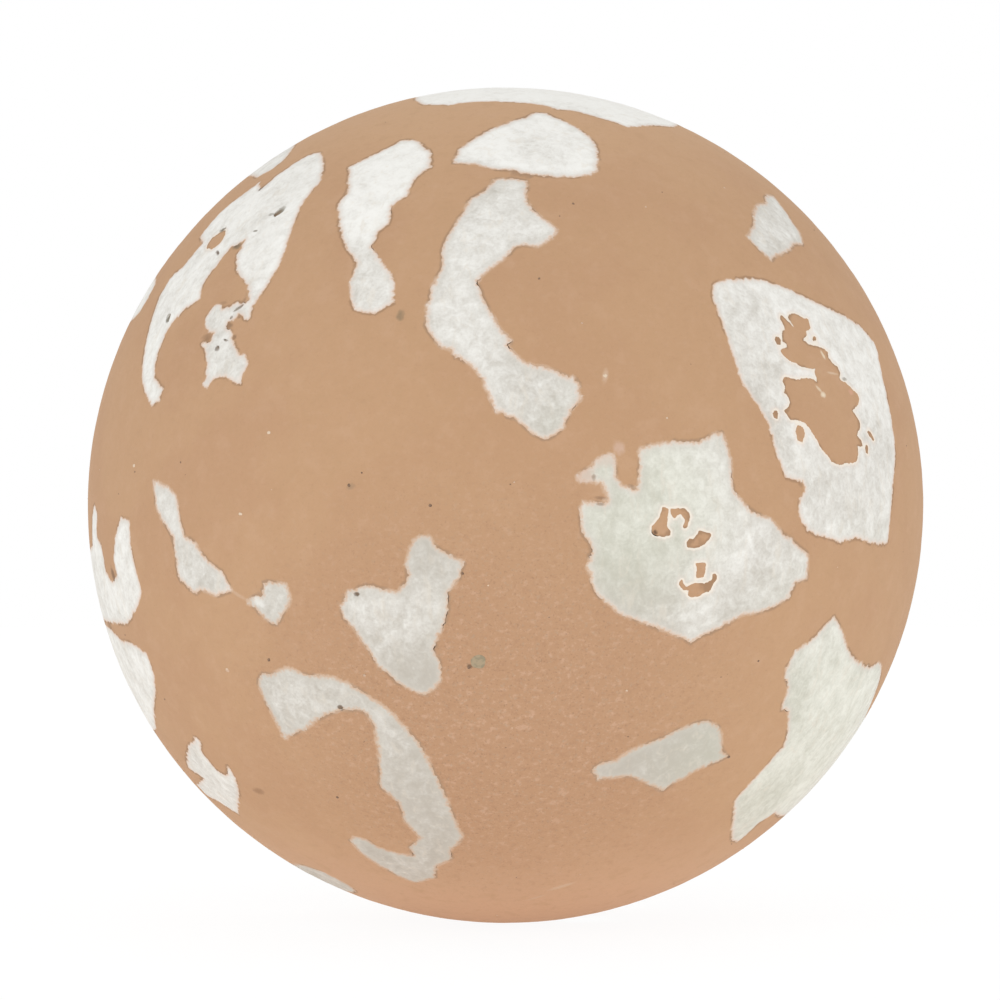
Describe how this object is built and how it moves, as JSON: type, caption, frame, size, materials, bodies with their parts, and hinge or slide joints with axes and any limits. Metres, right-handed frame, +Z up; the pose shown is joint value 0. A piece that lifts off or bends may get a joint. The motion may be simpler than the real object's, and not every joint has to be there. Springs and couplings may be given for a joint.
{
  "type": "decorative garden sphere",
  "caption": "Decorative garden ball cast in a tan cement mix, with irregular white patches lying flush in its surface.",
  "frame": {"origin": "the ball's centre", "axes": "+Z up as the ball is set out, -Y towards the front with the largest patches, +X to the right of that front"},
  "size_m": [0.2498, 0.25, 0.25],
  "materials": {
    "tan_cement": "matt cast cement mix, tan, with fine sand grains",
    "white_cement": "matt cast cement mix, off-white, cloudy and finely mottled"
  },
  "bodies": {
    "root": {"ball": "tan_cement", "white_patches": "white_cement"}
  },
  "joints": []
}
